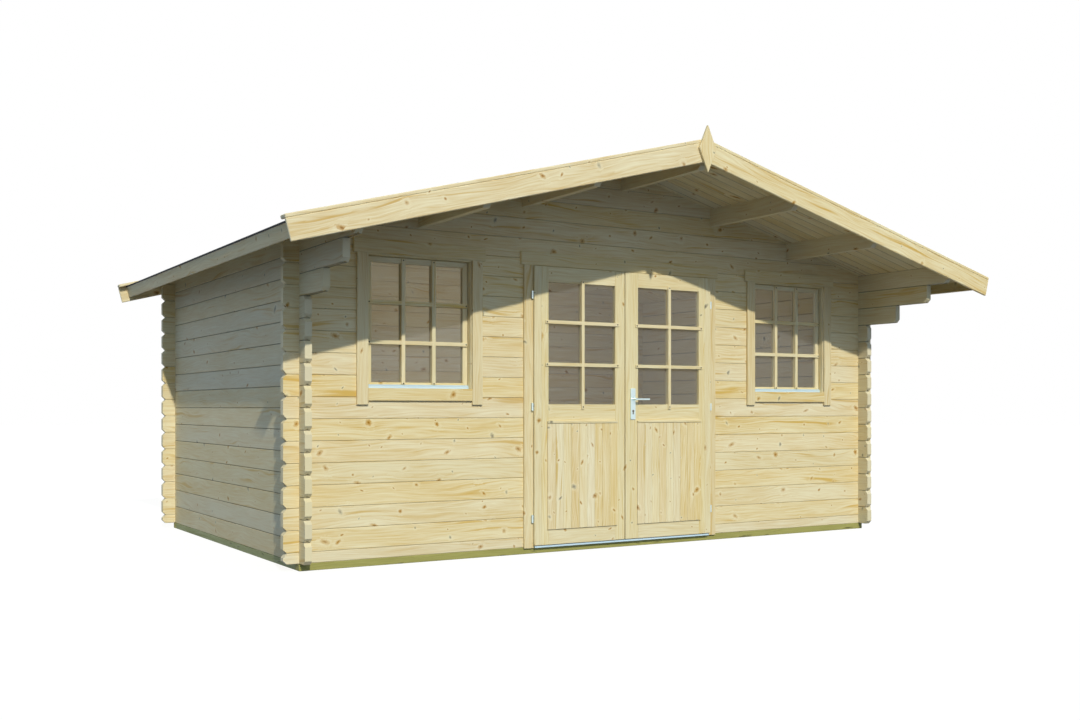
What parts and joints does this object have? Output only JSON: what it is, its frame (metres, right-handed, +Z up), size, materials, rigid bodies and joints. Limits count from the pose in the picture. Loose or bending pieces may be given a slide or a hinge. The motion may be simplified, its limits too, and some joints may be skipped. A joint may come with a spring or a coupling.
{
  "type": "log cabin",
  "caption": "Garden log cabin with notched log walls, a low gable roof over a deep front canopy, barred windows and a glazed double door that swings out.",
  "frame": {"origin": "on the ground under the middle of the roof", "axes": "+X to the right along the front as seen from outside, +Y from the door to the back wall, +Z up"},
  "size_m": [5.6344, 4.1566, 2.8163],
  "materials": {
    "treated_beam": "rough sawn and pressure treated, greenish",
    "floor_board": "planed softwood",
    "wall_log": "planed pale softwood with knots",
    "roof_beam": "planed pale softwood",
    "roof_board": "planed pale softwood",
    "edge_board": "planed pale softwood with knots",
    "window_wood": "planed pale softwood",
    "trim_board": "planed pale softwood with knots",
    "door_wood": "planed pale softwood",
    "panel_board": "planed pale softwood boards",
    "roofing_felt": "mineral-faced bitumen felt",
    "clear_glass": "clear float glass",
    "drip_metal": "plain mill aluminium",
    "hinge_steel": "zinc-plated steel",
    "handle_metal": "satin anodised",
    "lock_metal": "nickel-plated"
  },
  "bodies": {
    "cabin": {"ground_beams": "treated_beam", "floor_joists": "treated_beam", "floor_deck": "floor_board", "front_wall_left_logs": "wall_log", "front_wall_right_logs": "wall_log", "front_gable_logs": "wall_log", "back_wall_logs": "wall_log", "back_gable_logs": "wall_log", "left_wall_logs": "wall_log", "right_wall_logs": "wall_log", "ridge_purlin": "roof_beam", "upper_purlins": "roof_beam", "lower_purlins": "roof_beam", "left_roof_boards": "roof_board", "right_roof_boards": "roof_board", "roof_felt": "roofing_felt", "eave_boards": "edge_board", "front_bargeboards": "edge_board", "back_bargeboards": "edge_board", "front_cover_strips": "edge_board", "back_cover_strips": "edge_board", "gable_diamonds": "edge_board", "left_window_frame": "window_wood", "right_window_frame": "window_wood", "left_window_sash": "window_wood", "right_window_sash": "window_wood", "window_glass": "clear_glass", "window_drip_rails": "drip_metal", "door_threshold": "drip_metal", "left_window_trims": "trim_board", "right_window_trims": "trim_board", "door_trims": "trim_board", "door_frame": "door_wood", "door_frame_hinges": "hinge_steel"},
    "left_door": {"left_door_frame": "door_wood", "left_door_panel": "panel_board", "left_door_glass": "clear_glass", "left_door_hinges": "hinge_steel"},
    "right_door": {"right_door_frame": "door_wood", "right_door_panel": "panel_board", "right_door_glass": "clear_glass", "right_door_hinges": "hinge_steel", "handle_plates": "handle_metal", "door_lock": "lock_metal"},
    "lever": {"lever_handle": "handle_metal"}
  },
  "joints": [
    {"name": "left_door_hinge", "type": "hinge", "parent": "cabin", "child": "left_door", "pos_m": [-0.7777, -1.171, 0.99], "axis": [0, 0, -1], "range_deg": [0, 110]},
    {"name": "right_door_hinge", "type": "hinge", "parent": "cabin", "child": "right_door", "pos_m": [0.7777, -1.171, 0.99], "axis": [0, 0, 1], "range_deg": [0, 110]},
    {"name": "lever_turn", "type": "hinge", "parent": "right_door", "child": "lever", "pos_m": [0.05, -1.162, 1.0523], "axis": [0, 1, 0], "range_deg": [0, 40], "stiffness_Nm_per_rad": 1.2, "springref_deg": -28.65}
  ]
}
